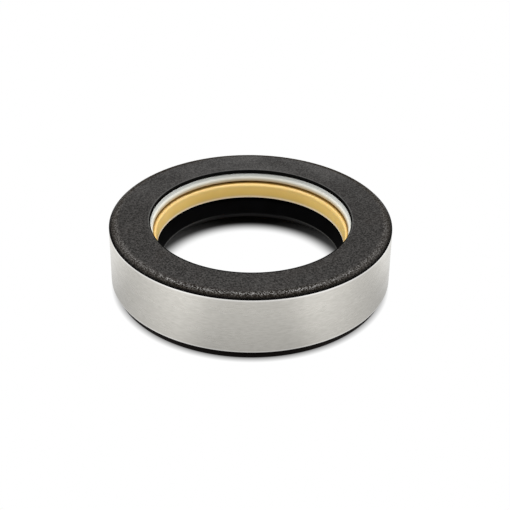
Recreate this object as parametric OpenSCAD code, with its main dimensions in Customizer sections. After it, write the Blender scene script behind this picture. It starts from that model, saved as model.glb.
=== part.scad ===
// Combined shaft seal: a drawn steel case that holds a retaining ring, a dust wiper and a rubber lip on its insert.
// Every piece is a ring about the Z axis. The air side is up, and the nose of the rubber stands on Z = 0.

/* [Fit] */
// Diameter of the shaft that the lips run on
shaft_d = 42; // [40:0.5:44]
// Diameter of the housing bore, and of the ground band of the case
housing_d = 62; // [61:0.5:66]
// Gap between each inner ring and the wall of the case, on the radius
seat_gap = 0.05; // [0.02:0.01:0.1]

/* [Case] */
// Width of the case, from its lower edge to its flange face
case_w = 14; // [13:0.5:18]
// Thickness of the case's sheet
case_t = 0.75; // [0.7:0.05:1]
// Gap between the shaft and the hole in the flange, on the radius
flange_gap = 1; // [0.8:0.1:1.5]
// Outside radius of the soft bend between the flange and the wall
bend_r = 2.8; // [2.4:0.1:3.4]
// Width of the soft bend, from the flat of the flange to the ground band
bend_w = 2.1; // [1.6:0.1:2.3]
// Inside radius of the bend
bend_in_r = 1; // [0.6:0.1:1.2]
// Chamfer of the wall's lower edge, which leads the case into its bore
lead_in = 0.25; // [0.1:0.05:0.5]
// Rounded upper edge of the flange's pierced hole
hole_edge = 0.2; // [0.1:0.05:0.4]

/* [Retaining ring] */
// Thickness of the ring's sheet
ring_t = 0.8; // [0.6:0.1:1]
// Height of the leg that is turned down inside the hole
ring_h = 1.9; // [1.9:0.05:2.4]
// Lean of the turned leg from the axis, in degrees
ring_lean = 8; // [7:0.5:12]
// Outside radius of the ring's bend
ring_bend_r = 1.8; // [1.4:0.05:1.8]
// Distance that the turned leg stands inside the edge of the flange's hole
ring_proud = 0.6; // [0.3:0.05:0.8]
// Rounded edge of the ring's sheet
ring_edge = 0.25; // [0.1:0.05:0.25]
// Gap between the back of the turned leg and the wiper
ring_gap = 0.05; // [0.02:0.01:0.1]
// Height of the open groove between the end of the turned leg and the wiper
ring_relief = 0.4; // [0.2:0.05:0.6]

/* [Dust wiper] */
// Height of the clamped base
wiper_h = 4.45; // [4:0.05:5]
// Overlap of the wiping edge on the shaft, on the radius
wiper_bite = 0.38; // [0.2:0.02:0.5]
// Distance that the wiping edge reaches below the base
wiper_drop = 0.45; // [0.3:0.05:0.8]
// Width of the flat on the wiping edge
wiper_land = 0.35; // [0.2:0.05:0.5]
// Thickness of the wiper's lip at its tip
wiper_tip = 1.35; // [1:0.05:1.6]
// Lean of the lip's inner face from the axis, in degrees
wiper_lean = 3; // [2:0.5:6]
// Lean of the lip's back from the axis, in degrees
wiper_back_lean = 24.5; // [20:0.5:26]
// Rounded upper edge of the lip's inner face
wiper_edge = 0.7; // [0.4:0.05:0.8]
// Rounded outer edge of the base
wiper_base_edge = 0.6; // [0.4:0.1:0.8]
// Width of the relief slot behind the lip
slot_w = 0.8; // [0.6:0.05:1]
// Depth of the relief slot above the base's underside
slot_h = 1.8; // [1.2:0.1:2]
// Rounding in the roof of the relief slot
slot_edge = 0.3; // [0.1:0.05:0.35]

/* [Lip insert] */
// Thickness of the insert's sheet
insert_t = 0.9; // [0.7:0.1:1.1]
// Inside radius of the insert's bend
insert_bend_r = 0.6; // [0.4:0.1:0.8]
// Gap between the shaft and the insert's inner edge, on the radius
insert_gap = 3.6; // [3.4:0.1:4.2]

/* [Sealing lip] */
// Height of the rubber nose that stands out below the case
nose_h = 2.2; // [1.8:0.1:2.6]
// Thickness of the rubber skin on both sides of the insert
skin_t = 0.8; // [0.6:0.1:1]
// Rubber below the insert's lower end
nose_cover = 1; // [0.7:0.1:1.4]
// Outer edge radius of the nose
nose_r = 1.15; // [0.8:0.05:1.2]
// Inner edge radius of the nose
nose_in_r = 0.6; // [0.4:0.1:0.8]
// Overlap of the sealing edge on the shaft, on the radius
lip_bite = 1; // [0.6:0.1:1.2]
// Distance from the insert's top face down to the sealing edge
lip_drop = 4.4; // [4:0.1:5]
// Width of the flat on the sealing edge
lip_land = 0.2; // [0.1:0.05:0.3]
// Angle between the shaft and the lip's air side, in degrees
air_angle = 25; // [20:1:30]
// Height of the lip's air side above the sealing edge
air_h = 2.6; // [2.4:0.1:2.8]
// Angle between the shaft and the lip's oil side, in degrees
oil_angle = 48; // [42:1:52]
// Distance from the sealing edge down to the foot of the lip
lip_foot = 2.4; // [2.2:0.1:2.6]
// Thickness of the flexing web between the lip and the insert
web_t = 1.4; // [1.1:0.1:1.6]
// Rounding of the web's bends
web_edge = 0.5; // [0.2:0.05:0.6]
// Rubber collar inside the insert's inner edge, on the radius
collar_t = 1.1; // [0.9:0.1:1.2]
// Height of the collar's inner wall
collar_h = 0.45; // [0.4:0.05:0.6]

/* [Garter spring] */
// Outside diameter of the spring's coil
spring_d = 1.7; // [1.4:0.1:1.9]
// Gap between the coil and its groove
spring_gap = 0.03; // [0.01:0.01:0.05]
// Rubber between the sealing edge and the groove
spring_wall = 1.67; // [1.4:0.05:1.8]
// Distance that the spring sits above the sealing edge
spring_lift = 0.2; // [0:0.05:0.4]
// Distance that the groove's upper side reaches past the middle of the coil, on the radius
spring_cheek = 0.25; // [0.1:0.05:0.4]
// Distance that the bead below the coil hooks past its middle, on the radius
spring_hook = 0.6; // [0.4:0.05:0.7]

/* [Hidden] */
$fn = 180;

// Levels, from the floor up
case_z = nose_h;
face_z = case_z + case_w;
flange_z = face_z - case_t;
ring_end_z = flange_z - ring_h;
wiper_top_z = flange_z - ring_t;
insert_z = wiper_top_z - wiper_h;
lip_z = insert_z - lip_drop;
spring_z = lip_z + spring_lift;

// Radii, from the shaft out
shaft_r = shaft_d / 2;
lip_r = shaft_r - lip_bite;
wiper_r = shaft_r - wiper_bite;
hole_r = shaft_r + flange_gap;
ring_r = hole_r - ring_proud;
insert_r = shaft_r + insert_gap;
case_r = housing_d / 2;
bore_r = case_r - case_t;
seat_r = bore_r - seat_gap;
groove_r = spring_d / 2 + spring_gap;
spring_r = lip_r + spring_wall + groove_r;
insert_out_r = seat_r - skin_t;
insert_in_r = insert_out_r - insert_t;

// Small rounding of the moulded edges
soft_edge = 0.2;

// A section is a list of corners, counter-clockwise: [radius from the axis, height, rounding].
// A rounding is a true arc between the corner's two sides.
function turn(a, b) = a.x * b.y - a.y * b.x;
function unit(v) = v / norm(v);
function point(corners, i) = [corners[i].x, corners[i].y];
function before(corners, i) = (i + len(corners) - 1) % len(corners);
function after(corners, i) = (i + 1) % len(corners);
function way_back(corners, i) = unit(point(corners, before(corners, i)) - point(corners, i));
function way_on(corners, i) = unit(point(corners, after(corners, i)) - point(corners, i));
function half_angle(corners, i) = acos(way_back(corners, i) * way_on(corners, i)) / 2;
function sticks_out(corners, i) = turn(way_on(corners, i), way_back(corners, i)) > 0;
function arc_ends(corners, i) =
    let (reach = corners[i].z / tan(half_angle(corners, i)))
    [for (way = [way_back(corners, i), way_on(corners, i)]) point(corners, i) + reach * way];
function arc_middle(corners, i) =
    let (inward = unit(way_back(corners, i) + way_on(corners, i)))
    point(corners, i) + inward * corners[i].z / sin(half_angle(corners, i));

// What lies between a rounding's arc and its chord
module arc_segment(corners, i) {
    ends = arc_ends(corners, i);
    intersection() {
        translate(arc_middle(corners, i)) circle(r = corners[i].z);
        polygon([ends[0], 2 * point(corners, i) - arc_middle(corners, i), ends[1]]);
    }
}

module section(corners) {
    all = [0:len(corners) - 1];
    difference() {
        union() {
            polygon([for (i = all) each corners[i].z > 0 ? arc_ends(corners, i) : [point(corners, i)]]);
            for (i = all) if (corners[i].z > 0 && sticks_out(corners, i)) arc_segment(corners, i);
        }
        for (i = all) if (corners[i].z > 0 && !sticks_out(corners, i)) arc_segment(corners, i);
    }
}

// The case's section: flange, soft bend and wall, less what is inside them
module case_section() {
    bend_x = case_r - bend_w;
    difference() {
        union() {
            section([
                [hole_r, flange_z, 0],
                [bend_x, flange_z, 0],
                [bend_x, face_z, 0],
                [hole_r, face_z, hole_edge]
            ]);
            intersection() {
                translate([bend_x, face_z - bend_r]) circle(r = bend_r);
                translate([bend_x, case_z]) square([bend_w, case_w + bend_r]);
            }
            polygon([
                [bore_r, case_z],
                [case_r - lead_in, case_z],
                [case_r, case_z + lead_in],
                [case_r, face_z - bend_r],
                [bore_r, face_z - bend_r]
            ]);
        }
        section([
            [bend_x - case_t, case_z - case_t, 0],
            [bore_r, case_z - case_t, 0],
            [bore_r, flange_z, bend_in_r],
            [bend_x - case_t, flange_z, 0]
        ]);
    }
}

module outer_case() {
    color("dimgray") rotate_extrude() case_section();
}

// Radius of the turned leg's back at a height
function leg_back(z) = ring_r + ring_t / cos(ring_lean) + (z - ring_end_z) * tan(ring_lean);

module retaining_ring() {
    flat_r = bore_r - bend_in_r - seat_gap;
    color("silver") rotate_extrude() section([
        [ring_r, ring_end_z, ring_edge],
        [leg_back(ring_end_z), ring_end_z, ring_edge],
        [leg_back(wiper_top_z), wiper_top_z, ring_bend_r - ring_t],
        [flat_r, wiper_top_z, ring_edge],
        [flat_r, flange_z, ring_edge],
        [ring_r + ring_h * tan(ring_lean), flange_z, ring_bend_r]
    ]);
}

module dust_wiper() {
    tip_z = insert_z - wiper_drop;
    ledge_z = ring_end_z - ring_relief;
    slot_z = insert_z + slot_h;
    back_r = wiper_r + wiper_tip;
    root_r = back_r + (slot_z - tip_z) * tan(wiper_back_lean);
    base_r = root_r + slot_w;
    pocket_gap = ring_gap / cos(ring_lean);
    pocket_edge = ring_bend_r - ring_t + 2 * ring_gap;
    face_r = wiper_r + (ledge_z - tip_z - wiper_land) * tan(wiper_lean);
    color("burlywood") rotate_extrude() section([
        [wiper_r, tip_z, 0],
        [back_r, tip_z, soft_edge],
        [root_r, slot_z, slot_edge],
        [base_r, slot_z, slot_edge],
        [base_r, insert_z, soft_edge],
        [seat_r, insert_z, soft_edge],
        [seat_r, wiper_top_z, wiper_base_edge],
        [leg_back(wiper_top_z) + pocket_gap, wiper_top_z, pocket_edge],
        [leg_back(ledge_z) + pocket_gap, ledge_z, soft_edge],
        [face_r, ledge_z, wiper_edge],
        [wiper_r, tip_z + wiper_land, 0]
    ]);
}

// The insert's section, which is also the space that it fills in the rubber
module insert_section() {
    section([
        [insert_in_r, nose_cover, 0],
        [insert_out_r, nose_cover, 0],
        [insert_out_r, insert_z, insert_bend_r + insert_t],
        [insert_r, insert_z, 0],
        [insert_r, insert_z - insert_t, 0],
        [insert_in_r, insert_z - insert_t, insert_bend_r]
    ]);
}

module lip_insert() {
    color("gray") rotate_extrude() insert_section();
}

module sealing_lip() {
    wall_r = insert_in_r - skin_t;
    under_z = insert_z - insert_t - skin_t;
    foot_z = lip_z - lip_foot;
    foot_r = lip_r + (lip_foot - lip_land / 2) * tan(oil_angle);
    cheek_r = spring_r + spring_cheek;
    bead_r = spring_r + spring_hook;
    collar = [insert_r - collar_t, insert_z - collar_h];
    air_top = [lip_r + (air_h - lip_land / 2) * tan(air_angle), lip_z + air_h];
    // The web's two sides are parallel, web_t apart
    along = unit(collar - air_top);
    web_start = air_top + web_t * [along.y, -along.x];
    web_low_z = web_start.y + (cheek_r - web_start.x) * along.y / along.x;
    web_out_r = web_start.x + (under_z - web_start.y) * along.x / along.y;
    color("black") rotate_extrude() difference() {
        section([
            [wall_r, 0, nose_in_r],
            [seat_r, 0, nose_r],
            [seat_r, insert_z, soft_edge],
            [collar.x, insert_z, soft_edge],
            [collar.x, collar.y, soft_edge],
            [air_top.x, air_top.y, web_edge],
            [lip_r, lip_z + lip_land / 2, 0],
            [lip_r, lip_z - lip_land / 2, 0],
            [foot_r, foot_z, soft_edge],
            [bead_r, foot_z, soft_edge],
            [bead_r, spring_z, 0],
            [cheek_r, spring_z, 0],
            [cheek_r, web_low_z, web_edge],
            [web_out_r, under_z, web_edge],
            [wall_r, under_z, skin_t]
        ]);
        translate([spring_r, spring_z]) circle(r = groove_r);
        insert_section();
    }
}

module garter_spring() {
    color("lightgray") rotate_extrude() translate([spring_r, spring_z]) circle(r = spring_d / 2);
}

outer_case();
retaining_ring();
dust_wiper();
lip_insert();
sealing_lip();
garter_spring();
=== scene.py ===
import math

import bpy
from mathutils import Matrix, Vector


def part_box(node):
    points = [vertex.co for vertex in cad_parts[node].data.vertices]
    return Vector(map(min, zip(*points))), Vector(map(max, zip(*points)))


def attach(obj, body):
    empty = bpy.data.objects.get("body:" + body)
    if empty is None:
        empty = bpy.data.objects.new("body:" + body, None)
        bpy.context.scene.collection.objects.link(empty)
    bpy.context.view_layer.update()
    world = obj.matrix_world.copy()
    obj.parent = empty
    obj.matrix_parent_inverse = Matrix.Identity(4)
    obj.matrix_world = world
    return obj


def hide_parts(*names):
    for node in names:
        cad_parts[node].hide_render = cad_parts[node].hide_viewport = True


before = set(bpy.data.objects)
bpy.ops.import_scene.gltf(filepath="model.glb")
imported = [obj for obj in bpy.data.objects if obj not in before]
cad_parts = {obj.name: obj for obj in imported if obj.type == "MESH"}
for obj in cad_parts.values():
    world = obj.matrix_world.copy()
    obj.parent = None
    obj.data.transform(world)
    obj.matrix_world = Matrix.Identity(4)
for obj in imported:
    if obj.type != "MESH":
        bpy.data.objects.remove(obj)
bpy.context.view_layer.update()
mm = 0.001  # sizes below are in millimetres
print("frame loaded:", ", ".join(sorted(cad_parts)))


# Helpers for node trees

def addNode(tree, kind, inputs=None, **settings):
    node = tree.nodes.new(kind)
    for name, value in settings.items():
        setattr(node, name, value)
    for name, value in (inputs or {}).items():
        plug(tree, node.inputs[name], value)
    return node


def plug(tree, socket, value):
    if isinstance(value, bpy.types.NodeSocket):
        tree.links.new(value, socket)
    else:
        socket.default_value = value


def doMath(tree, operation, first, second=0.0):
    node = tree.nodes.new("ShaderNodeMath")
    node.operation = operation
    plug(tree, node.inputs[0], first)
    plug(tree, node.inputs[1], second)
    return node.outputs[0]


def newTree(name, kind, inputs, outputs):
    tree = bpy.data.node_groups.new(name, kind)
    for label, socketKind, start in inputs:
        socket = tree.interface.new_socket(label, in_out="INPUT", socket_type=socketKind)
        if start is not None:
            socket.default_value = start
    for label, socketKind in outputs:
        tree.interface.new_socket(label, in_out="OUTPUT", socket_type=socketKind)
    return tree, tree.nodes.new("NodeGroupInput").outputs, tree.nodes.new("NodeGroupOutput").inputs


# Shared effects for the finishes

def makeTurnedLines():  # fine lines that run round the axis, as a lathe or a grinding wheel leaves them
    tree, given, result = newTree(
        "turnedLines", "ShaderNodeTree",
        [("Vector", "NodeSocketVector", None), ("Line Width", "NodeSocketFloat", 0.05),
         ("Line Length", "NodeSocketFloat", 4.0)],
        [("Lines", "NodeSocketFloat"), ("Broad", "NodeSocketFloat")])
    along = doMath(tree, "DIVIDE", 1 / mm, given["Line Length"])
    across = doMath(tree, "DIVIDE", 1 / mm, given["Line Width"])
    stretch = addNode(tree, "ShaderNodeCombineXYZ", {"X": along, "Y": along, "Z": across})
    fine = addNode(tree, "ShaderNodeVectorMath", {0: given["Vector"], 1: stretch.outputs[0]},
                   operation="MULTIPLY")
    lines = addNode(tree, "ShaderNodeTexNoise", {"Vector": fine.outputs[0], "Scale": 1.0, "Detail": 3.0,
                                                 "Roughness": 0.6})
    broad = addNode(tree, "ShaderNodeTexNoise", {"Vector": fine.outputs[0], "Scale": 0.13, "Detail": 2.0})
    plug(tree, result["Lines"], lines.outputs["Fac"])
    plug(tree, result["Broad"], broad.outputs["Fac"])
    return tree


def makeSurfaceGrain():  # an even fine grain, with a slow drift over the whole piece
    tree, given, result = newTree(
        "surfaceGrain", "ShaderNodeTree",
        [("Vector", "NodeSocketVector", None), ("Grain Size", "NodeSocketFloat", 0.2),
         ("Drift Size", "NodeSocketFloat", 9.0)],
        [("Grain", "NodeSocketFloat"), ("Drift", "NodeSocketFloat")])
    grain = addNode(tree, "ShaderNodeTexNoise", {
        "Vector": given["Vector"], "Scale": doMath(tree, "DIVIDE", 1 / mm, given["Grain Size"]),
        "Detail": 4.0, "Roughness": 0.65})
    drift = addNode(tree, "ShaderNodeTexNoise", {
        "Vector": given["Vector"], "Scale": doMath(tree, "DIVIDE", 1 / mm, given["Drift Size"]),
        "Detail": 3.0, "Roughness": 0.55})
    plug(tree, result["Grain"], grain.outputs["Fac"])
    plug(tree, result["Drift"], drift.outputs["Fac"])
    return tree


def makeRingPlace():  # where a point lies about the axis, in millimetres
    tree, given, result = newTree(
        "ringPlace", "ShaderNodeTree", [("Vector", "NodeSocketVector", None)],
        [(name, "NodeSocketFloat") for name in ("Radius", "Height", "Back", "Side")])
    axes = addNode(tree, "ShaderNodeSeparateXYZ", {0: given["Vector"]}).outputs
    squares = [doMath(tree, "POWER", axes[i], 2.0) for i in (0, 1)]
    radius = doMath(tree, "SQRT", doMath(tree, "ADD", *squares))
    side = doMath(tree, "ABSOLUTE", axes[0])
    for name, value in {"Radius": radius, "Height": axes[2], "Back": axes[1], "Side": side}.items():
        plug(tree, result[name], doMath(tree, "DIVIDE", value, mm))
    return tree


turnedLines = makeTurnedLines()
surfaceGrain = makeSurfaceGrain()
ringPlace = makeRingPlace()


# Helpers for materials

def newMaterial(name):
    material = bpy.data.materials.new(name)
    material.use_nodes = True
    tree = material.node_tree
    shader = tree.nodes["Principled BSDF"]
    place = tree.nodes.new("ShaderNodeTexCoord").outputs["Object"]
    return material, tree, shader, place


def placeEffect(tree, effect, inputs):
    node = tree.nodes.new("ShaderNodeGroup")
    node.node_tree = effect
    for name, value in inputs.items():
        plug(tree, node.inputs[name], value)
    return node.outputs


def spread(tree, value, low, high, fromLow=0.3, fromHigh=0.7):  # a mask of the effect, as another range
    node = addNode(tree, "ShaderNodeMapRange", {
        "Value": value, "From Min": fromLow, "From Max": fromHigh, "To Min": low, "To Max": high})
    return node.outputs[0]


def blendValues(tree, mask, first, second):
    return addNode(tree, "ShaderNodeMix", {0: mask, 2: first, 3: second}).outputs[0]


def blendColors(tree, mask, first, second):
    node = addNode(tree, "ShaderNodeMix", data_type="RGBA")
    plug(tree, node.inputs["Factor"], mask)
    plug(tree, node.inputs[6], first)
    plug(tree, node.inputs[7], second)
    return node.outputs[2]


def multiplyColors(tree, first, second):
    node = addNode(tree, "ShaderNodeMix", data_type="RGBA", blend_type="MULTIPLY")
    node.inputs["Factor"].default_value = 1.0
    plug(tree, node.inputs[6], first)
    plug(tree, node.inputs[7], second)
    return node.outputs[2]


def rampColors(tree, value, stops):  # stops: (value, colour or grey), from the lowest up
    low, high = stops[0][0], stops[-1][0]
    node = addNode(tree, "ShaderNodeValToRGB", {"Fac": spread(tree, value, 0.0, 1.0, low, high)})
    colors = [(*color, 1) if isinstance(color, tuple) else (color, color, color, 1) for _, color in stops]
    ends = list(node.color_ramp.elements)
    ends[0].color, ends[1].color = colors[0], colors[-1]
    for (level, _), color in zip(stops[1:-1], colors[1:-1]):
        node.color_ramp.elements.new((level - low) / (high - low)).color = color
    return node.outputs[0]


def setConstants(shader, values):
    for name, value in values.items():
        shader.inputs[name].default_value = value


def addBump(tree, shader, height, strength, depth):
    bump = addNode(tree, "ShaderNodeBump", {"Strength": strength, "Distance": depth * mm, "Height": height})
    plug(tree, shader.inputs["Normal"], bump.outputs[0])


# Sizes of the case, which its finishes follow too

caseShell = {
    "sheet": 0.75,
    "holeRadius": 22.0,
    "holeEdge": 0.2,
    "bendRadius": 2.8,
    "bendWidth": 2.1,  # from the flat of the flange to the ground band
    "bendInside": 1.0,
    "bandEdge": 0.2,  # soft upper edge of the ground band
    "leadIn": 0.25,  # chamfer of the lower edge
    "cutEdge": 0.04,
    "segments": 360,
    "roundingPoints": 10,
}
caseLow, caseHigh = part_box("outer_case")
caseShell["wall"], caseShell["foot"], caseShell["face"] = caseHigh.x / mm, caseLow.z / mm, caseHigh.z / mm
caseShell["bendSweep"] = math.asin(caseShell["bendWidth"] / caseShell["bendRadius"])
caseShell["bandTop"] = caseShell["face"] - caseShell["bendRadius"] * (1 - math.cos(caseShell["bendSweep"]))


# Finish of the case: a thin black coat on the pressed sheet, with the sheet's grain showing through

darkCoatLook = {  # lengths in mm, places from the front, below zero, to the back
    "grainSize": 0.314,
    "driftSize": 9.0,
    "grainSpan": (0.43, 0.60),  # of the noise, between the pits and the peaks of the grain
    "coat": ((0.005, 0.0043, 0.0037, 1), (0.0195, 0.0173, 0.0154, 1)),  # in the pits and on the peaks
    "bendCoat": ((0.0095, 0.0077, 0.0058, 1), (0.026, 0.0208, 0.0162, 1)),  # browner on the bend
    "bendStart": (-0.2, 0.6),  # over which the bend's look begins, from the end of the flat
    "patch": (0.018, 0.014, 0.0115, 1),  # worn patches
    "patchSpan": (0.5, 0.75),
    "patchDepth": 0.4,
    "dust": 0.017,  # painted sheen with dust: the flat paler towards the back, in clouds
    "sheenPlaces": (0.0, 26.0),
    "sheenClouds": (0.4, 1.6),
    "cloudSpan": (0.36, 0.64),
    # colour of the painted shade on the edges below
    "black": (0.002, 0.002, 0.002, 1),
    "holeShade": (0.2, 0.28),  # painted shade on the pierced edge, from the hole outwards
    "holeShadeWidening": 0.25,  # by which it is wider in front
    "wideningPlaces": (-18.0, -8.0),
    "bandShade": (0.2, 0.66),  # painted shade on the end of the bend, from the ground band upwards
    "rimHighlight": (0.07, 0.07, 0.067, 1),  # painted highlight along the back of the hole's edge
    "rimHighlightReach": (0.42, 0.55),
    "rimHighlightDepth": 0.6,
    "rimHighlightPlaces": (-12.0, 0.0),
    "flatGloss": (0.115, 0.33),  # weights of the clear coat, in the pits and on the peaks
    "bendGloss": (0.12, 1.0),
    "bendGrain": (0.45, 0.63),
    "backGloss": 0.03,  # share of the bend's gloss that is left at the back
    "backPlaces": (10.0, 22.0),
    "frontGloss": (0.0, 0.36),  # sparser glints along the front of the bend
    "frontGrain": (0.475, 0.625),
    "frontPlaces": (-27.0, -14.0),
    "shadeGloss": 0.1,  # share of the gloss that the edges in painted shade have
    "coatIndex": 2.44,
    "coatRoughness": 0.33,
    "roughness": (0.2, 0.28),
    "bump": (0.9, 0.11),  # strength and depth
}


def makeDarkCoat(sizes, look):
    material, tree, shader, place = newMaterial("darkCoat")
    noise = placeEffect(tree, surfaceGrain, {
        "Vector": place, "Grain Size": look["grainSize"], "Drift Size": look["driftSize"]})
    spot = placeEffect(tree, ringPlace, {"Vector": place})
    grain, drift, back = noise["Grain"], noise["Drift"], spot["Back"]
    pastFlat = doMath(tree, "SUBTRACT", spot["Radius"], sizes["wall"] - sizes["bendWidth"])
    fromHole = doMath(tree, "SUBTRACT", spot["Radius"], sizes["holeRadius"])
    overBand = doMath(tree, "SUBTRACT", spot["Height"], sizes["bandTop"])
    speck = spread(tree, grain, 0.0, 1.0, *look["grainSpan"])
    onBend = spread(tree, pastFlat, 0.0, 1.0, *look["bendStart"])

    coat = blendColors(tree, speck, *look["coat"])
    patches = spread(tree, drift, 0.0, look["patchDepth"], *look["patchSpan"])
    worn = blendColors(tree, patches, coat, look["patch"])
    bent = blendColors(tree, onBend, worn, blendColors(tree, speck, *look["bendCoat"]))
    # Painted sheen with dust: the flat paler towards the back, in clouds
    settled = doMath(tree, "MULTIPLY", spread(tree, back, 0.0, look["dust"], *look["sheenPlaces"]),
                     doMath(tree, "SUBTRACT", 1.0, onBend))
    dust = doMath(tree, "MULTIPLY", settled, spread(tree, drift, *look["sheenClouds"], *look["cloudSpan"]))
    hazed = addNode(tree, "ShaderNodeVectorMath", {0: bent, 1: dust}, operation="ADD").outputs[0]

    # Painted shade: the pierced edge, wider in front, and the end of the bend go black
    shear = spread(tree, back, look["holeShadeWidening"], 0.0, *look["wideningPlaces"])
    inHole = spread(tree, doMath(tree, "SUBTRACT", fromHole, shear), 1.0, 0.0, *look["holeShade"])
    black = doMath(tree, "MAXIMUM", inHole, spread(tree, overBand, 1.0, 0.0, *look["bandShade"]))
    # Painted highlight along the back of the hole's edge
    behind = doMath(tree, "SUBTRACT", spread(tree, back, 0.0, 1.0, *look["rimHighlightPlaces"]), black)
    rubbed = doMath(tree, "MULTIPLY", behind,
                    spread(tree, fromHole, look["rimHighlightDepth"], 0.0, *look["rimHighlightReach"]))
    lined = blendColors(tree, rubbed, hazed, look["rimHighlight"])
    plug(tree, shader.inputs["Base Color"], blendColors(tree, black, lined, look["black"]))

    onFlat = spread(tree, speck, *look["flatGloss"], 0.0, 1.0)
    satin = doMath(tree, "MULTIPLY", spread(tree, grain, *look["bendGloss"], *look["bendGrain"]),
                   spread(tree, back, 1.0, look["backGloss"], *look["backPlaces"]))
    glints = spread(tree, grain, *look["frontGloss"], *look["frontGrain"])
    sparkle = blendValues(tree, spread(tree, back, 1.0, 0.0, *look["frontPlaces"]), satin, glints)
    gloss = doMath(tree, "MULTIPLY", blendValues(tree, onBend, onFlat, sparkle),
                   spread(tree, black, 1.0, look["shadeGloss"], 0.0, 1.0))
    plug(tree, shader.inputs["Coat Weight"], gloss)
    setConstants(shader, {"Coat IOR": look["coatIndex"], "Coat Roughness": look["coatRoughness"],
                          "Specular IOR Level": 0.0})
    plug(tree, shader.inputs["Roughness"], spread(tree, drift, *look["roughness"]))
    addBump(tree, shader, grain, *look["bump"])
    return material


# Finish of the ground band of the case, with painted highlights along both edges

groundSteelLook = {
    "lineWidth": 0.3,
    "lineLength": 1.4,
    "steel": ((0.525, 0.51, 0.47, 1), (0.62, 0.602, 0.56, 1)),
    # painted highlight along both edges
    "edgeHighlight": (0.9, 0.89, 0.87, 1),
    "upperEdge": (-0.5, -0.15),  # from the top of the band
    "upperDepth": 0.8,
    "lowerEdge": (0.3, 0.6),  # from its foot
    "lowerDepth": 0.7,
    "anisotropy": 0.5,
    "roughness": (0.24, 0.34),
    "bump": (0.08, 0.01),
}


def makeGroundSteel(sizes, look):
    material, tree, shader, place = newMaterial("groundSteel")
    marks = placeEffect(tree, turnedLines, {
        "Vector": place, "Line Width": look["lineWidth"], "Line Length": look["lineLength"]})
    height = placeEffect(tree, ringPlace, {"Vector": place})["Height"]
    steel = blendColors(tree, spread(tree, marks["Lines"], 0.0, 1.0), *look["steel"])
    fromTop = doMath(tree, "SUBTRACT", height, sizes["bandTop"])
    fromFoot = doMath(tree, "SUBTRACT", height, sizes["foot"])
    # Painted highlights along the top and the foot of the band
    edges = doMath(tree, "MAXIMUM", spread(tree, fromTop, 0.0, look["upperDepth"], *look["upperEdge"]),
                   spread(tree, fromFoot, look["lowerDepth"], 0.0, *look["lowerEdge"]))
    plug(tree, shader.inputs["Base Color"], blendColors(tree, edges, steel, look["edgeHighlight"]))
    setConstants(shader, {"Metallic": 1.0, "Anisotropic": look["anisotropy"]})
    plug(tree, shader.inputs["Roughness"], spread(tree, marks["Broad"], *look["roughness"]))
    tangent = addNode(tree, "ShaderNodeTangent", direction_type="RADIAL", axis="Z")
    plug(tree, shader.inputs["Tangent"], tangent.outputs[0])
    addBump(tree, shader, marks["Lines"], *look["bump"])
    return material


# Finish of the retaining ring: satin plated sheet

brightPlateLook = {
    "lineWidth": 0.12,
    "lineLength": 7.0,
    "plate": ((0.67, 0.68, 0.66, 1), (0.88, 0.89, 0.87, 1)),
    "sideLightPlaces": (4.0, 20.0),  # to either side, over which painted light makes the plate brighter
    "sideLightDepth": 0.8,
    "lineDepth": 0.2,
    "paintedLightByHeight": [  # by height, all painted light and shade: the wiper's amber reflected in the crease, light on the rounding, shade nearer the flange, a thin line of light and shadow under the flange
        (13.55, (0.85, 0.51, 0.18)),  # foot of the leg, in the crease over the wiper: painted amber reflection and shade
        (13.75, (0.68, 0.49, 0.27)),
        (14.02, (0.71, 0.62, 0.47)),
        (14.25, (0.86, 0.80, 0.68)),
        (14.45, (0.97, 0.95, 0.89)),
        (14.62, (0.97, 0.95, 0.90)),
        (14.78, (0.66, 0.67, 0.65)),
        (15.05, (0.64, 0.65, 0.63)),
        (15.10, (0.90, 0.91, 0.90)),
        (15.16, (0.90, 0.91, 0.90)),
        (15.24, (0.03, 0.03, 0.03)),  # painted shadow under the flange
    ],
    "metallic": 0.1,
    "roughness": (0.36, 0.46),
    "bump": (0.1, 0.01),
}


def makeBrightPlate(look):
    material, tree, shader, place = newMaterial("brightPlate")
    marks = placeEffect(tree, turnedLines, {
        "Vector": place, "Line Width": look["lineWidth"], "Line Length": look["lineLength"]})
    spot = placeEffect(tree, ringPlace, {"Vector": place})
    # Painted light: the plate brighter towards either side, over its fine lines
    fresh = doMath(tree, "ADD", spread(tree, spot["Side"], 0.0, look["sideLightDepth"], *look["sideLightPlaces"]),
                   spread(tree, marks["Lines"], 0.0, look["lineDepth"]))
    plate = blendColors(tree, fresh, *look["plate"])
    # Painted light and shade by height
    tinted = multiplyColors(tree, plate, rampColors(tree, spot["Height"], look["paintedLightByHeight"]))
    plug(tree, shader.inputs["Base Color"], tinted)
    setConstants(shader, {"Metallic": look["metallic"]})
    plug(tree, shader.inputs["Roughness"], spread(tree, marks["Broad"], *look["roughness"]))
    addBump(tree, shader, marks["Lines"], *look["bump"])
    return material


# Finish of the wiper: satin polyurethane, with painted highlights on its edges and painted shade in the
# crease under the ring

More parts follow.
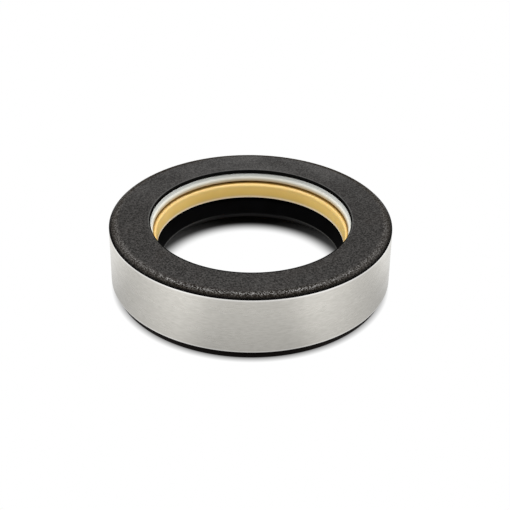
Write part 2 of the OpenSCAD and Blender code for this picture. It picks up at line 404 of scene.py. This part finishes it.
amberLook = {
    "grainSize": 0.35,
    "driftSize": 8.0,
    "lineWidth": 0.25,
    "lineLength": 30.0,
    "cloud": ((0.94, 0.93, 0.88, 1), (1.0, 1.0, 1.0, 1)),
    "paintedLightByHeight": [  # by height, with painted light and shade: lighter high on the face
        (9.75, (0.93, 0.76, 0.55)),  # painted highlight on the thin lower edge
        (9.97, (0.90, 0.73, 0.50)),
        (10.15, (0.80, 0.62, 0.34)),
        (10.35, (0.72, 0.51, 0.175)),
        (10.90, (0.80, 0.55, 0.15)),
        (12.00, (0.86, 0.60, 0.187)),
        (12.45, (0.83, 0.59, 0.205)),
        (12.71, (0.77, 0.55, 0.21)),
        (13.02, (0.78, 0.565, 0.245)),  # rounded upper edge, painted light
        (13.12, (0.50, 0.30, 0.07)),
        (13.16, (0.18, 0.10, 0.02)),  # painted shade in the crease under the ring
    ],
    "glow": 0.15,  # light that goes in and comes out again
    "glowReach": (1.0, 0.55, 0.2),
    "glowDepth": 0.5,
    "specular": 0.4,
    "roughness": (0.3, 0.4),
    "bump": (0.12, 0.02),
}


def makeAmberWiper(look):
    material, tree, shader, place = newMaterial("amberPolyurethane")
    noise = placeEffect(tree, surfaceGrain, {
        "Vector": place, "Grain Size": look["grainSize"], "Drift Size": look["driftSize"]})
    marks = placeEffect(tree, turnedLines, {
        "Vector": place, "Line Width": look["lineWidth"], "Line Length": look["lineLength"]})
    height = placeEffect(tree, ringPlace, {"Vector": place})["Height"]
    cloud = blendColors(tree, spread(tree, noise["Drift"], 0.0, 1.0), *look["cloud"])
    # Painted light and shade by height
    amber = multiplyColors(tree, cloud, rampColors(tree, height, look["paintedLightByHeight"]))
    plug(tree, shader.inputs["Base Color"], amber)
    setConstants(shader, {
        "Subsurface Weight": look["glow"], "Subsurface Radius": look["glowReach"],
        "Subsurface Scale": look["glowDepth"] * mm, "Specular IOR Level": look["specular"]})
    plug(tree, shader.inputs["Roughness"], spread(tree, noise["Grain"], *look["roughness"]))
    addBump(tree, shader, marks["Lines"], *look["bump"])
    return material


# Finish of the rubber: black, darker inside than the rubber itself as painted shade, greyer on the nose,
# with a painted highlight along the sealing edge

mouldedRubberLook = {
    "grainSize": 0.15,
    "driftSize": 7.0,
    # darker than the rubber's own black: painted shade inside the seal
    "rubber": ((0.0012, 0.0012, 0.0012, 1), (0.0026, 0.0026, 0.003, 1)),
    "nose": ((0.009, 0.0075, 0.007, 1), (0.016, 0.0135, 0.0128, 1)),
    "noseSpan": (-1.4, -0.4),  # heights from the sealing edge
    "noseRadii": (24.0, 28.0),
    "innerNose": 0.45,  # how far its inner side greys too; the rest of the inside stays darker as painted shade
    "edgeHeight": 5.8,  # of the sealing edge
    "edge": (0.06, 0.06, 0.058, 1),  # its painted highlight line
    "edgeWidth": (0.1, 0.2),
    "edgePlaces": (6.0, 18.0),  # to either side, over which the line comes up
    "edgeFaint": 0.05,
    "specular": 0.018,
    "roughness": (0.42, 0.56),
    "bump": (0.25, 0.02),
}


def makeMouldedRubber(look):
    material, tree, shader, place = newMaterial("mouldedRubber")
    noise = placeEffect(tree, surfaceGrain, {
        "Vector": place, "Grain Size": look["grainSize"], "Drift Size": look["driftSize"]})
    spot = placeEffect(tree, ringPlace, {"Vector": place})
    overEdge = doMath(tree, "SUBTRACT", spot["Height"], look["edgeHeight"])
    rubber = blendColors(tree, spread(tree, noise["Drift"], 0.0, 1.0), *look["rubber"])
    nose = blendColors(tree, spread(tree, noise["Grain"], 0.0, 1.0), *look["nose"])
    dulled = doMath(tree, "MULTIPLY", spread(tree, overEdge, 1.0, 0.0, *look["noseSpan"]),
                    spread(tree, spot["Radius"], look["innerNose"], 1.0, *look["noseRadii"]))
    fromEdge = doMath(tree, "ABSOLUTE", overEdge)
    # Painted highlight along the sealing edge, stronger to either side
    line = doMath(tree, "MULTIPLY", spread(tree, fromEdge, 1.0, 0.0, *look["edgeWidth"]),
                  spread(tree, spot["Side"], look["edgeFaint"], 1.0, *look["edgePlaces"]))
    greyed = blendColors(tree, dulled, rubber, nose)
    plug(tree, shader.inputs["Base Color"], blendColors(tree, line, greyed, look["edge"]))
    setConstants(shader, {"Specular IOR Level": look["specular"]})
    plug(tree, shader.inputs["Roughness"], spread(tree, noise["Drift"], *look["roughness"]))
    addBump(tree, shader, noise["Grain"], *look["bump"])
    return material


# Finishes of the hidden steel: the insert's pickled sheet and the spring's drawn wire

plainSheetLook = {
    "grainSize": 0.25,
    "driftSize": 6.0,
    "steel": ((0.30, 0.30, 0.30, 1), (0.42, 0.415, 0.40, 1)),
    "roughness": (0.36, 0.5),
    "bump": (0.2, 0.02),
}
springWireLook = {
    "grainSize": 0.1,
    "driftSize": 4.0,
    "steel": ((0.42, 0.41, 0.40, 1), (0.58, 0.57, 0.55, 1)),
    "roughness": (0.22, 0.34),
}


def makeHiddenSteel(name, look):
    material, tree, shader, place = newMaterial(name)
    noise = placeEffect(tree, surfaceGrain, {
        "Vector": place, "Grain Size": look["grainSize"], "Drift Size": look["driftSize"]})
    steel = blendColors(tree, spread(tree, noise["Drift"], 0.0, 1.0), *look["steel"])
    plug(tree, shader.inputs["Base Color"], steel)
    setConstants(shader, {"Metallic": 1.0})
    plug(tree, shader.inputs["Roughness"], spread(tree, noise["Grain"], *look["roughness"]))
    if "bump" in look:
        addBump(tree, shader, noise["Grain"], *look["bump"])
    return material


darkCoat = makeDarkCoat(caseShell, darkCoatLook)
groundSteel = makeGroundSteel(caseShell, groundSteelLook)
brightPlate = makeBrightPlate(brightPlateLook)
amberPolyurethane = makeAmberWiper(amberLook)
mouldedRubber = makeMouldedRubber(mouldedRubberLook)
plainSheet = makeHiddenSteel("plainSheet", plainSheetLook)
springWire = makeHiddenSteel("springWire", springWireLook)
print("finishes made")


# Turned and pressed rings: a section with rounded corners, revolved about the axis

pathRadius = 20.0  # of the circle that the section follows
normalWeight = 100  # the wide faces alone set the shading, so flats stay flat beside roundings


def makeRevolveTree():
    tree, given, result = newTree(
        "revolvedSection", "GeometryNodeTree",
        [("Section", "NodeSocketGeometry", None), ("Segments Around", "NodeSocketInt", 288),
         ("Points per Rounding", "NodeSocketInt", 7), ("Ground Outside Radius", "NodeSocketFloat", 1.0),
         ("Ground Below Height", "NodeSocketFloat", 0.0), ("Sheet", "NodeSocketMaterial", None),
         ("Ground", "NodeSocketMaterial", None)],
        [("Ring", "NodeSocketGeometry")])
    outline = addNode(tree, "GeometryNodeMeshToCurve", {"Mesh": given["Section"]})
    rounding = addNode(tree, "GeometryNodeInputNamedAttribute", {"Name": "rounding"}, data_type="FLOAT")
    rounded = addNode(tree, "GeometryNodeFilletCurve", {
        "Curve": outline.outputs[0], "Radius": rounding.outputs[0], "Limit Radius": True,
        "Count": given["Points per Rounding"]}, mode="POLY")
    path = addNode(tree, "GeometryNodeCurvePrimitiveCircle", {"Resolution": given["Segments Around"],
                                                              "Radius": pathRadius * mm})
    swept = addNode(tree, "GeometryNodeCurveToMesh", {"Curve": path.outputs[0],
                                                      "Profile Curve": rounded.outputs[0]})
    smooth = addNode(tree, "GeometryNodeSetShadeSmooth", {0: swept.outputs[0]})
    place = addNode(tree, "GeometryNodeInputPosition")
    axes = addNode(tree, "ShaderNodeSeparateXYZ", {0: place.outputs[0]})
    radius = doMath(tree, "SQRT", doMath(tree, "ADD", doMath(tree, "POWER", axes.outputs[0], 2.0),
                                         doMath(tree, "POWER", axes.outputs[1], 2.0)))
    isOuter = doMath(tree, "GREATER_THAN", radius, given["Ground Outside Radius"])
    isLow = doMath(tree, "LESS_THAN", axes.outputs[2], given["Ground Below Height"])
    real = addNode(tree, "GeometryNodeRealizeInstances", {0: smooth.outputs[0]})
    sheet = addNode(tree, "GeometryNodeSetMaterial", {
        "Geometry": real.outputs[0], "Material": given["Sheet"]})
    ground = addNode(tree, "GeometryNodeSetMaterial", {
        "Geometry": sheet.outputs[0], "Selection": doMath(tree, "MULTIPLY", isOuter, isLow),
        "Material": given["Ground"]})
    plug(tree, result["Ring"], ground.outputs[0])
    return tree


def setInputs(modifier, values):
    for item in modifier.node_group.interface.items_tree:
        if item.in_out == "INPUT" and item.name in values:
            modifier[item.identifier] = values[item.name]


def makePlain(piece):  # the evaluated result becomes the piece's own mesh
    graph = bpy.context.evaluated_depsgraph_get()
    mesh = bpy.data.meshes.new_from_object(piece.evaluated_get(graph))
    piece.modifiers.clear()
    piece.data = mesh
    mesh.name = piece.name
    return piece


def newPiece(name, mesh):
    piece = bpy.data.objects.new(name, mesh)
    bpy.context.scene.collection.objects.link(piece)
    return piece


def makeRing(name, corners, values):  # corners: (radius, height, rounding) in mm, counter-clockwise
    mesh = bpy.data.meshes.new(name)
    points = [((radius - pathRadius) * mm, -height * mm, 0.0) for radius, height, _ in corners]
    mesh.from_pydata(points, [(i, (i + 1) % len(points)) for i in range(len(points))], [])
    rounding = mesh.attributes.new("rounding", "FLOAT", "POINT")
    rounding.data.foreach_set("value", [corner[2] * mm for corner in corners])
    piece = newPiece(name, mesh)
    modifier = piece.modifiers.new("revolve", "NODES")
    modifier.node_group = revolvedSection
    setInputs(modifier, values)
    piece.modifiers.new("evenNormals", "WEIGHTED_NORMAL").weight = normalWeight
    return makePlain(piece)


revolvedSection = makeRevolveTree()


# Case: flange, soft bend and ground wall in one drawn sheet

def makeCase(sizes):
    wall, foot, face, bandTop = (sizes[name] for name in ("wall", "foot", "face", "bandTop"))
    bore, under = wall - sizes["sheet"], face - sizes["sheet"]
    bendCorner = wall - sizes["bendWidth"] + sizes["bendRadius"] * math.tan(sizes["bendSweep"] / 2)
    cut = sizes["cutEdge"]
    corners = [
        (sizes["holeRadius"], under, cut),
        (bore, under, sizes["bendInside"]),
        (bore, foot, cut),
        (wall - sizes["leadIn"], foot, cut),
        (wall, foot + sizes["leadIn"], cut),
        (wall, bandTop, sizes["bandEdge"]),
        (bendCorner, face, sizes["bendRadius"] - sizes["bandEdge"]),
        (sizes["holeRadius"], face, sizes["holeEdge"]),
    ]
    piece = makeRing("caseShell", corners, {
        "Segments Around": sizes["segments"], "Points per Rounding": sizes["roundingPoints"],
        "Ground Outside Radius": (bore + cut) * mm, "Ground Below Height": (bandTop - cut / 2) * mm,
        "Sheet": darkCoat, "Ground": groundSteel})
    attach(piece, "root")
    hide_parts("outer_case")
    return piece


# Retaining ring: a bright angle ring, bent over the wiper's shoulder

angleRing = {
    "sheet": 0.8,
    "legRadius": 21.4,  # inside of the turned leg
    "legLean": 8.0,  # of the turned leg from the axis, in degrees
    "bendRadius": 1.8,
    "edge": 0.25,
    "segments": 288,
    "roundingPoints": 12,
}


def makeAngleRing(sizes):
    low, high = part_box("retaining_ring")
    rim, foot, top = high.x / mm, low.z / mm, high.z / mm
    leg, edge, under = sizes["legRadius"], sizes["edge"], top - sizes["sheet"]
    lean = math.radians(sizes["legLean"])
    back = leg + sizes["sheet"] / math.cos(lean)
    corners = [
        (leg, foot, edge),
        (back, foot, edge),
        (back + (under - foot) * math.tan(lean), under, sizes["bendRadius"] - sizes["sheet"]),
        (rim, under, edge),
        (rim, top, edge),
        (leg + (top - foot) * math.tan(lean), top, sizes["bendRadius"]),
    ]
    piece = makeRing("angleRing", corners, {
        "Segments Around": sizes["segments"], "Points per Rounding": sizes["roundingPoints"],
        "Sheet": brightPlate, "Ground": brightPlate})
    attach(piece, "root")
    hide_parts("retaining_ring")
    return piece


# Garter spring: one close-wound coil, closed into a ring in the groove behind the lip

garterCoil = {
    "wire": 0.32,
    "turns": 418,
    "pointsPerTurn": 12,
    "wireSides": 7,
}


def makeCoilTree():
    tree, given, result = newTree(
        "closeWoundCoil", "GeometryNodeTree",
        [("Ring Radius", "NodeSocketFloat", 0.02), ("Coil Radius", "NodeSocketFloat", 0.001),
         ("Wire Radius", "NodeSocketFloat", 0.0002), ("Height", "NodeSocketFloat", 0.0),
         ("Turns", "NodeSocketInt", 400), ("Points per Turn", "NodeSocketInt", 12),
         ("Wire Sides", "NodeSocketInt", 7), ("Wire", "NodeSocketMaterial", None)],
        [("Coil", "NodeSocketGeometry")])
    points = doMath(tree, "MULTIPLY", given["Turns"], given["Points per Turn"])
    path = addNode(tree, "GeometryNodeCurvePrimitiveCircle", {"Resolution": points, "Radius": 1.0})
    along = addNode(tree, "GeometryNodeInputIndex")
    part = doMath(tree, "DIVIDE", along.outputs[0], points)
    around = doMath(tree, "MULTIPLY", part, 2 * math.pi)
    winding = doMath(tree, "MULTIPLY", around, given["Turns"])
    radius = doMath(tree, "ADD", given["Ring Radius"],
                    doMath(tree, "MULTIPLY", given["Coil Radius"], doMath(tree, "COSINE", winding)))
    height = doMath(tree, "ADD", given["Height"],
                    doMath(tree, "MULTIPLY", given["Coil Radius"], doMath(tree, "SINE", winding)))
    spot = addNode(tree, "ShaderNodeCombineXYZ", {
        "X": doMath(tree, "MULTIPLY", radius, doMath(tree, "COSINE", around)),
        "Y": doMath(tree, "MULTIPLY", radius, doMath(tree, "SINE", around)), "Z": height})
    wound = addNode(tree, "GeometryNodeSetPosition", {
        "Geometry": path.outputs[0], "Position": spot.outputs[0]})
    section = addNode(tree, "GeometryNodeCurvePrimitiveCircle", {"Resolution": given["Wire Sides"],
                                                                 "Radius": given["Wire Radius"]})
    swept = addNode(tree, "GeometryNodeCurveToMesh", {
        "Curve": wound.outputs[0], "Profile Curve": section.outputs[0]})
    smooth = addNode(tree, "GeometryNodeSetShadeSmooth", {0: swept.outputs[0]})
    real = addNode(tree, "GeometryNodeRealizeInstances", {0: smooth.outputs[0]})
    dressed = addNode(tree, "GeometryNodeSetMaterial", {
        "Geometry": real.outputs[0], "Material": given["Wire"]})
    plug(tree, result["Coil"], dressed.outputs[0])
    return tree


def makeGarterCoil(sizes):
    low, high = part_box("garter_spring")
    outside = (high.z - low.z) / 2
    piece = newPiece("garterCoil", bpy.data.meshes.new("garterCoil"))
    modifier = piece.modifiers.new("wind", "NODES")
    modifier.node_group = makeCoilTree()
    setInputs(modifier, {
        "Ring Radius": high.x - outside, "Coil Radius": outside - sizes["wire"] * mm / 2,
        "Wire Radius": sizes["wire"] * mm / 2, "Height": (high.z + low.z) / 2, "Turns": sizes["turns"],
        "Points per Turn": sizes["pointsPerTurn"], "Wire Sides": sizes["wireSides"], "Wire": springWire})
    makePlain(piece)
    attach(piece, "root")
    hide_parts("garter_spring")
    return piece


for piece in (makeCase(caseShell), makeAngleRing(angleRing), makeGarterCoil(garterCoil)):
    print(piece.name, len(piece.data.polygons), "faces")

cadFinishes = {"dust_wiper": amberPolyurethane, "sealing_lip": mouldedRubber, "lip_insert": plainSheet}
for node, material in cadFinishes.items():
    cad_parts[node].material_slots[0].material = material
print("pieces made and dressed")


# Floor, light and camera

studio = {
    "floorSize": 6.0,
    "floorColor": (0.08, 0.08, 0.08, 1),
    "shadeInside": (25.6, 20.9),  # radii, in mm, over which the shadow under the lip fades to white
    "shadeStretch": 1.075,  # it reaches further in at the sides
    "shadeOutside": (28.9, 31.2),  # and the shadow of the nose
    "floorGlow": [  # the lamps' pools, as the band shows them, by the angle from the front in radians
        (0.33, 0.86), (0.58, 1.18), (0.75, 1.18), (1.2, 0.92), (1.33, 0.92), (1.66, 1.25),
        (1.85, 1.25), (2.05, 0.92), (2.39, 1.18), (2.56, 1.18), (2.81, 0.86)],
    "glowGrowth": (0.72, 1.05),  # what it is multiplied by, near the seal and away from it: painted shade near the seal
    "glowRadii": (31.0, 52.0),
    "ambient": 0.2,  # what the surroundings give to matt surfaces
    "skyGloss": [  # what they show in reflections, by the sine of the elevation
        (0.15, 0.05), (0.34, 0.15), (0.46, 0.75), (0.54, 0.75), (0.7, 0.4)],
    "lamps": {  # place, size of the box in metres, watts, seen in gloss
        "topBox": ((0.0, 0.22, 0.62), (0.5, 0.28), 4.0, True),
        "leftBox": ((-0.66, -0.24, 0.52), (0.5, 0.4), 6.0, False),
        "rightBox": ((0.66, -0.24, 0.52), (0.5, 0.4), 6.0, False),
    },
}
photoView = {  # from a fit of the flange's and the band's edges, about the foot of the band
    "distance": 290.917,
    "elevation": math.degrees(0.5714),
    "pitch": math.degrees(0.5586),
    "yaw": math.degrees(0.0042),
    "roll": math.degrees(0.0114),
    "focalPixels": 1293.31,
    "imagePixels": 510,
    "sensor": 36.0,
    "clipStart": 0.01,
}


def isSeen(tree):  # rays that show a thing, and not those that carry its light
    rays = tree.nodes.new("ShaderNodeLightPath").outputs
    return doMath(tree, "MAXIMUM", rays["Is Camera Ray"],
                  doMath(tree, "MAXIMUM", rays["Is Glossy Ray"], rays["Is Transmission Ray"]))


def measureAway(tree, place, stretch):  # distance from the axis in mm, with X stretched
    scaled = addNode(tree, "ShaderNodeVectorMath", {0: place, 1: (stretch / mm, 1 / mm, 0)},
                     operation="MULTIPLY")
    return addNode(tree, "ShaderNodeVectorMath", {0: scaled.outputs[0]}, operation="LENGTH").outputs["Value"]


def makeFloor(sizes):  # white to the eye, and shaded where the seal stands
    half = sizes["floorSize"] / 2
    mesh = bpy.data.meshes.new("floor")
    corners = [(-half, -half, 0), (half, -half, 0), (half, half, 0), (-half, half, 0)]
    mesh.from_pydata(corners, [], [(0, 1, 2, 3)])
    floor = newPiece("floor", mesh)
    material, tree, shader, place = newMaterial("paleFloor")
    setConstants(shader, {"Base Color": sizes["floorColor"], "Roughness": 1.0, "Specular IOR Level": 0.0})
    radius, wide = (measureAway(tree, place, stretch) for stretch in (1.0, sizes["shadeStretch"]))
    dark, light = sizes["shadeInside"]
    inside = addNode(tree, "ShaderNodeMapRange", {"Value": wide, "From Min": dark, "From Max": light},
                     interpolation_type="SMOOTHSTEP").outputs[0]
    clear = doMath(tree, "MAXIMUM", inside, spread(tree, radius, 0.0, 1.0, *sizes["shadeOutside"]))
    axes = addNode(tree, "ShaderNodeSeparateXYZ", {0: place})
    around = doMath(tree, "ARCTAN2", axes.outputs[0], doMath(tree, "MULTIPLY", axes.outputs[1], -1.0))
    pools = rampColors(tree, doMath(tree, "ABSOLUTE", around), sizes["floorGlow"])
    glow = doMath(tree, "MULTIPLY", pools, spread(tree, radius, *sizes["glowGrowth"], *sizes["glowRadii"]))
    rays = tree.nodes.new("ShaderNodeLightPath").outputs
    strength = blendValues(tree, rays["Is Camera Ray"], glow, 1.0)
    white = addNode(tree, "ShaderNodeEmission", {"Color": (1, 1, 1, 1), "Strength": strength})
    shown = addNode(tree, "ShaderNodeMixShader", {
        0: doMath(tree, "MULTIPLY", isSeen(tree), clear),
        1: shader.outputs[0], 2: white.outputs[0]})
    plug(tree, tree.nodes["Material Output"].inputs["Surface"], shown.outputs[0])
    mesh.materials.append(material)


def makeWorld(sizes):  # white to the camera, dimmer overhead in reflections, soft as light
    world = bpy.data.worlds.new("surroundings")
    bpy.context.scene.world = world
    world.use_nodes = True
    world.cycles.sampling_method = "NONE"
    tree = world.node_tree
    rays = tree.nodes.new("ShaderNodeLightPath").outputs
    way = tree.nodes.new("ShaderNodeTexCoord").outputs["Generated"]
    rise = addNode(tree, "ShaderNodeSeparateXYZ", {0: way}).outputs[2]
    gloss = rampColors(tree, rise, sizes["skyGloss"])
    seen = blendValues(tree, isSeen(tree), sizes["ambient"], gloss)
    level = blendValues(tree, rays["Is Camera Ray"], seen, 1.0)
    plug(tree, tree.nodes["Background"].inputs["Strength"], level)
    tree.nodes["Background"].inputs["Color"].default_value = (1, 1, 1, 1)


def makeLamp(name, place, size, watts, inGloss):
    lamp = bpy.data.lights.new(name, "AREA")
    lamp.shape = "RECTANGLE"
    lamp.size, lamp.size_y = size
    lamp.energy = watts
    holder = newPiece(name, lamp)
    holder.location = place
    holder.rotation_euler = (-Vector(place)).to_track_quat("-Z", "Y").to_euler()
    holder.visible_camera = False
    holder.visible_glossy = inGloss


def makeCamera(view):
    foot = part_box("outer_case")[0].z
    elevation, pitch = math.radians(view["elevation"]), math.radians(view["pitch"])
    yaw, roll = math.radians(view["yaw"]), math.radians(view["roll"])
    ahead = Vector((math.sin(yaw) * math.cos(pitch), math.cos(yaw) * math.cos(pitch), -math.sin(pitch)))
    right = Vector((math.cos(yaw), -math.sin(yaw), 0))
    up = right.cross(ahead)
    across = right * math.cos(roll) + up * math.sin(roll)
    upward = up * math.cos(roll) - right * math.sin(roll)
    turned = Matrix((across, upward, -ahead)).transposed().to_4x4()
    away = view["distance"] * mm
    turned.translation = Vector((0, -away * math.cos(elevation), away * math.sin(elevation) + foot))
    lens = bpy.data.cameras.new("photoCamera")
    lens.sensor_width = view["sensor"]
    lens.lens = view["focalPixels"] / view["imagePixels"] * view["sensor"]
    lens.clip_start = view["clipStart"]
    camera = newPiece("photoCamera", lens)
    camera.matrix_world = turned
    bpy.context.scene.camera = camera


makeFloor(studio)
makeWorld(studio)
for name, lampSizes in studio["lamps"].items():
    makeLamp(name, *lampSizes)
makeCamera(photoView)
bpy.context.scene.view_settings.view_transform = "Standard"
print("floor, light and camera set")
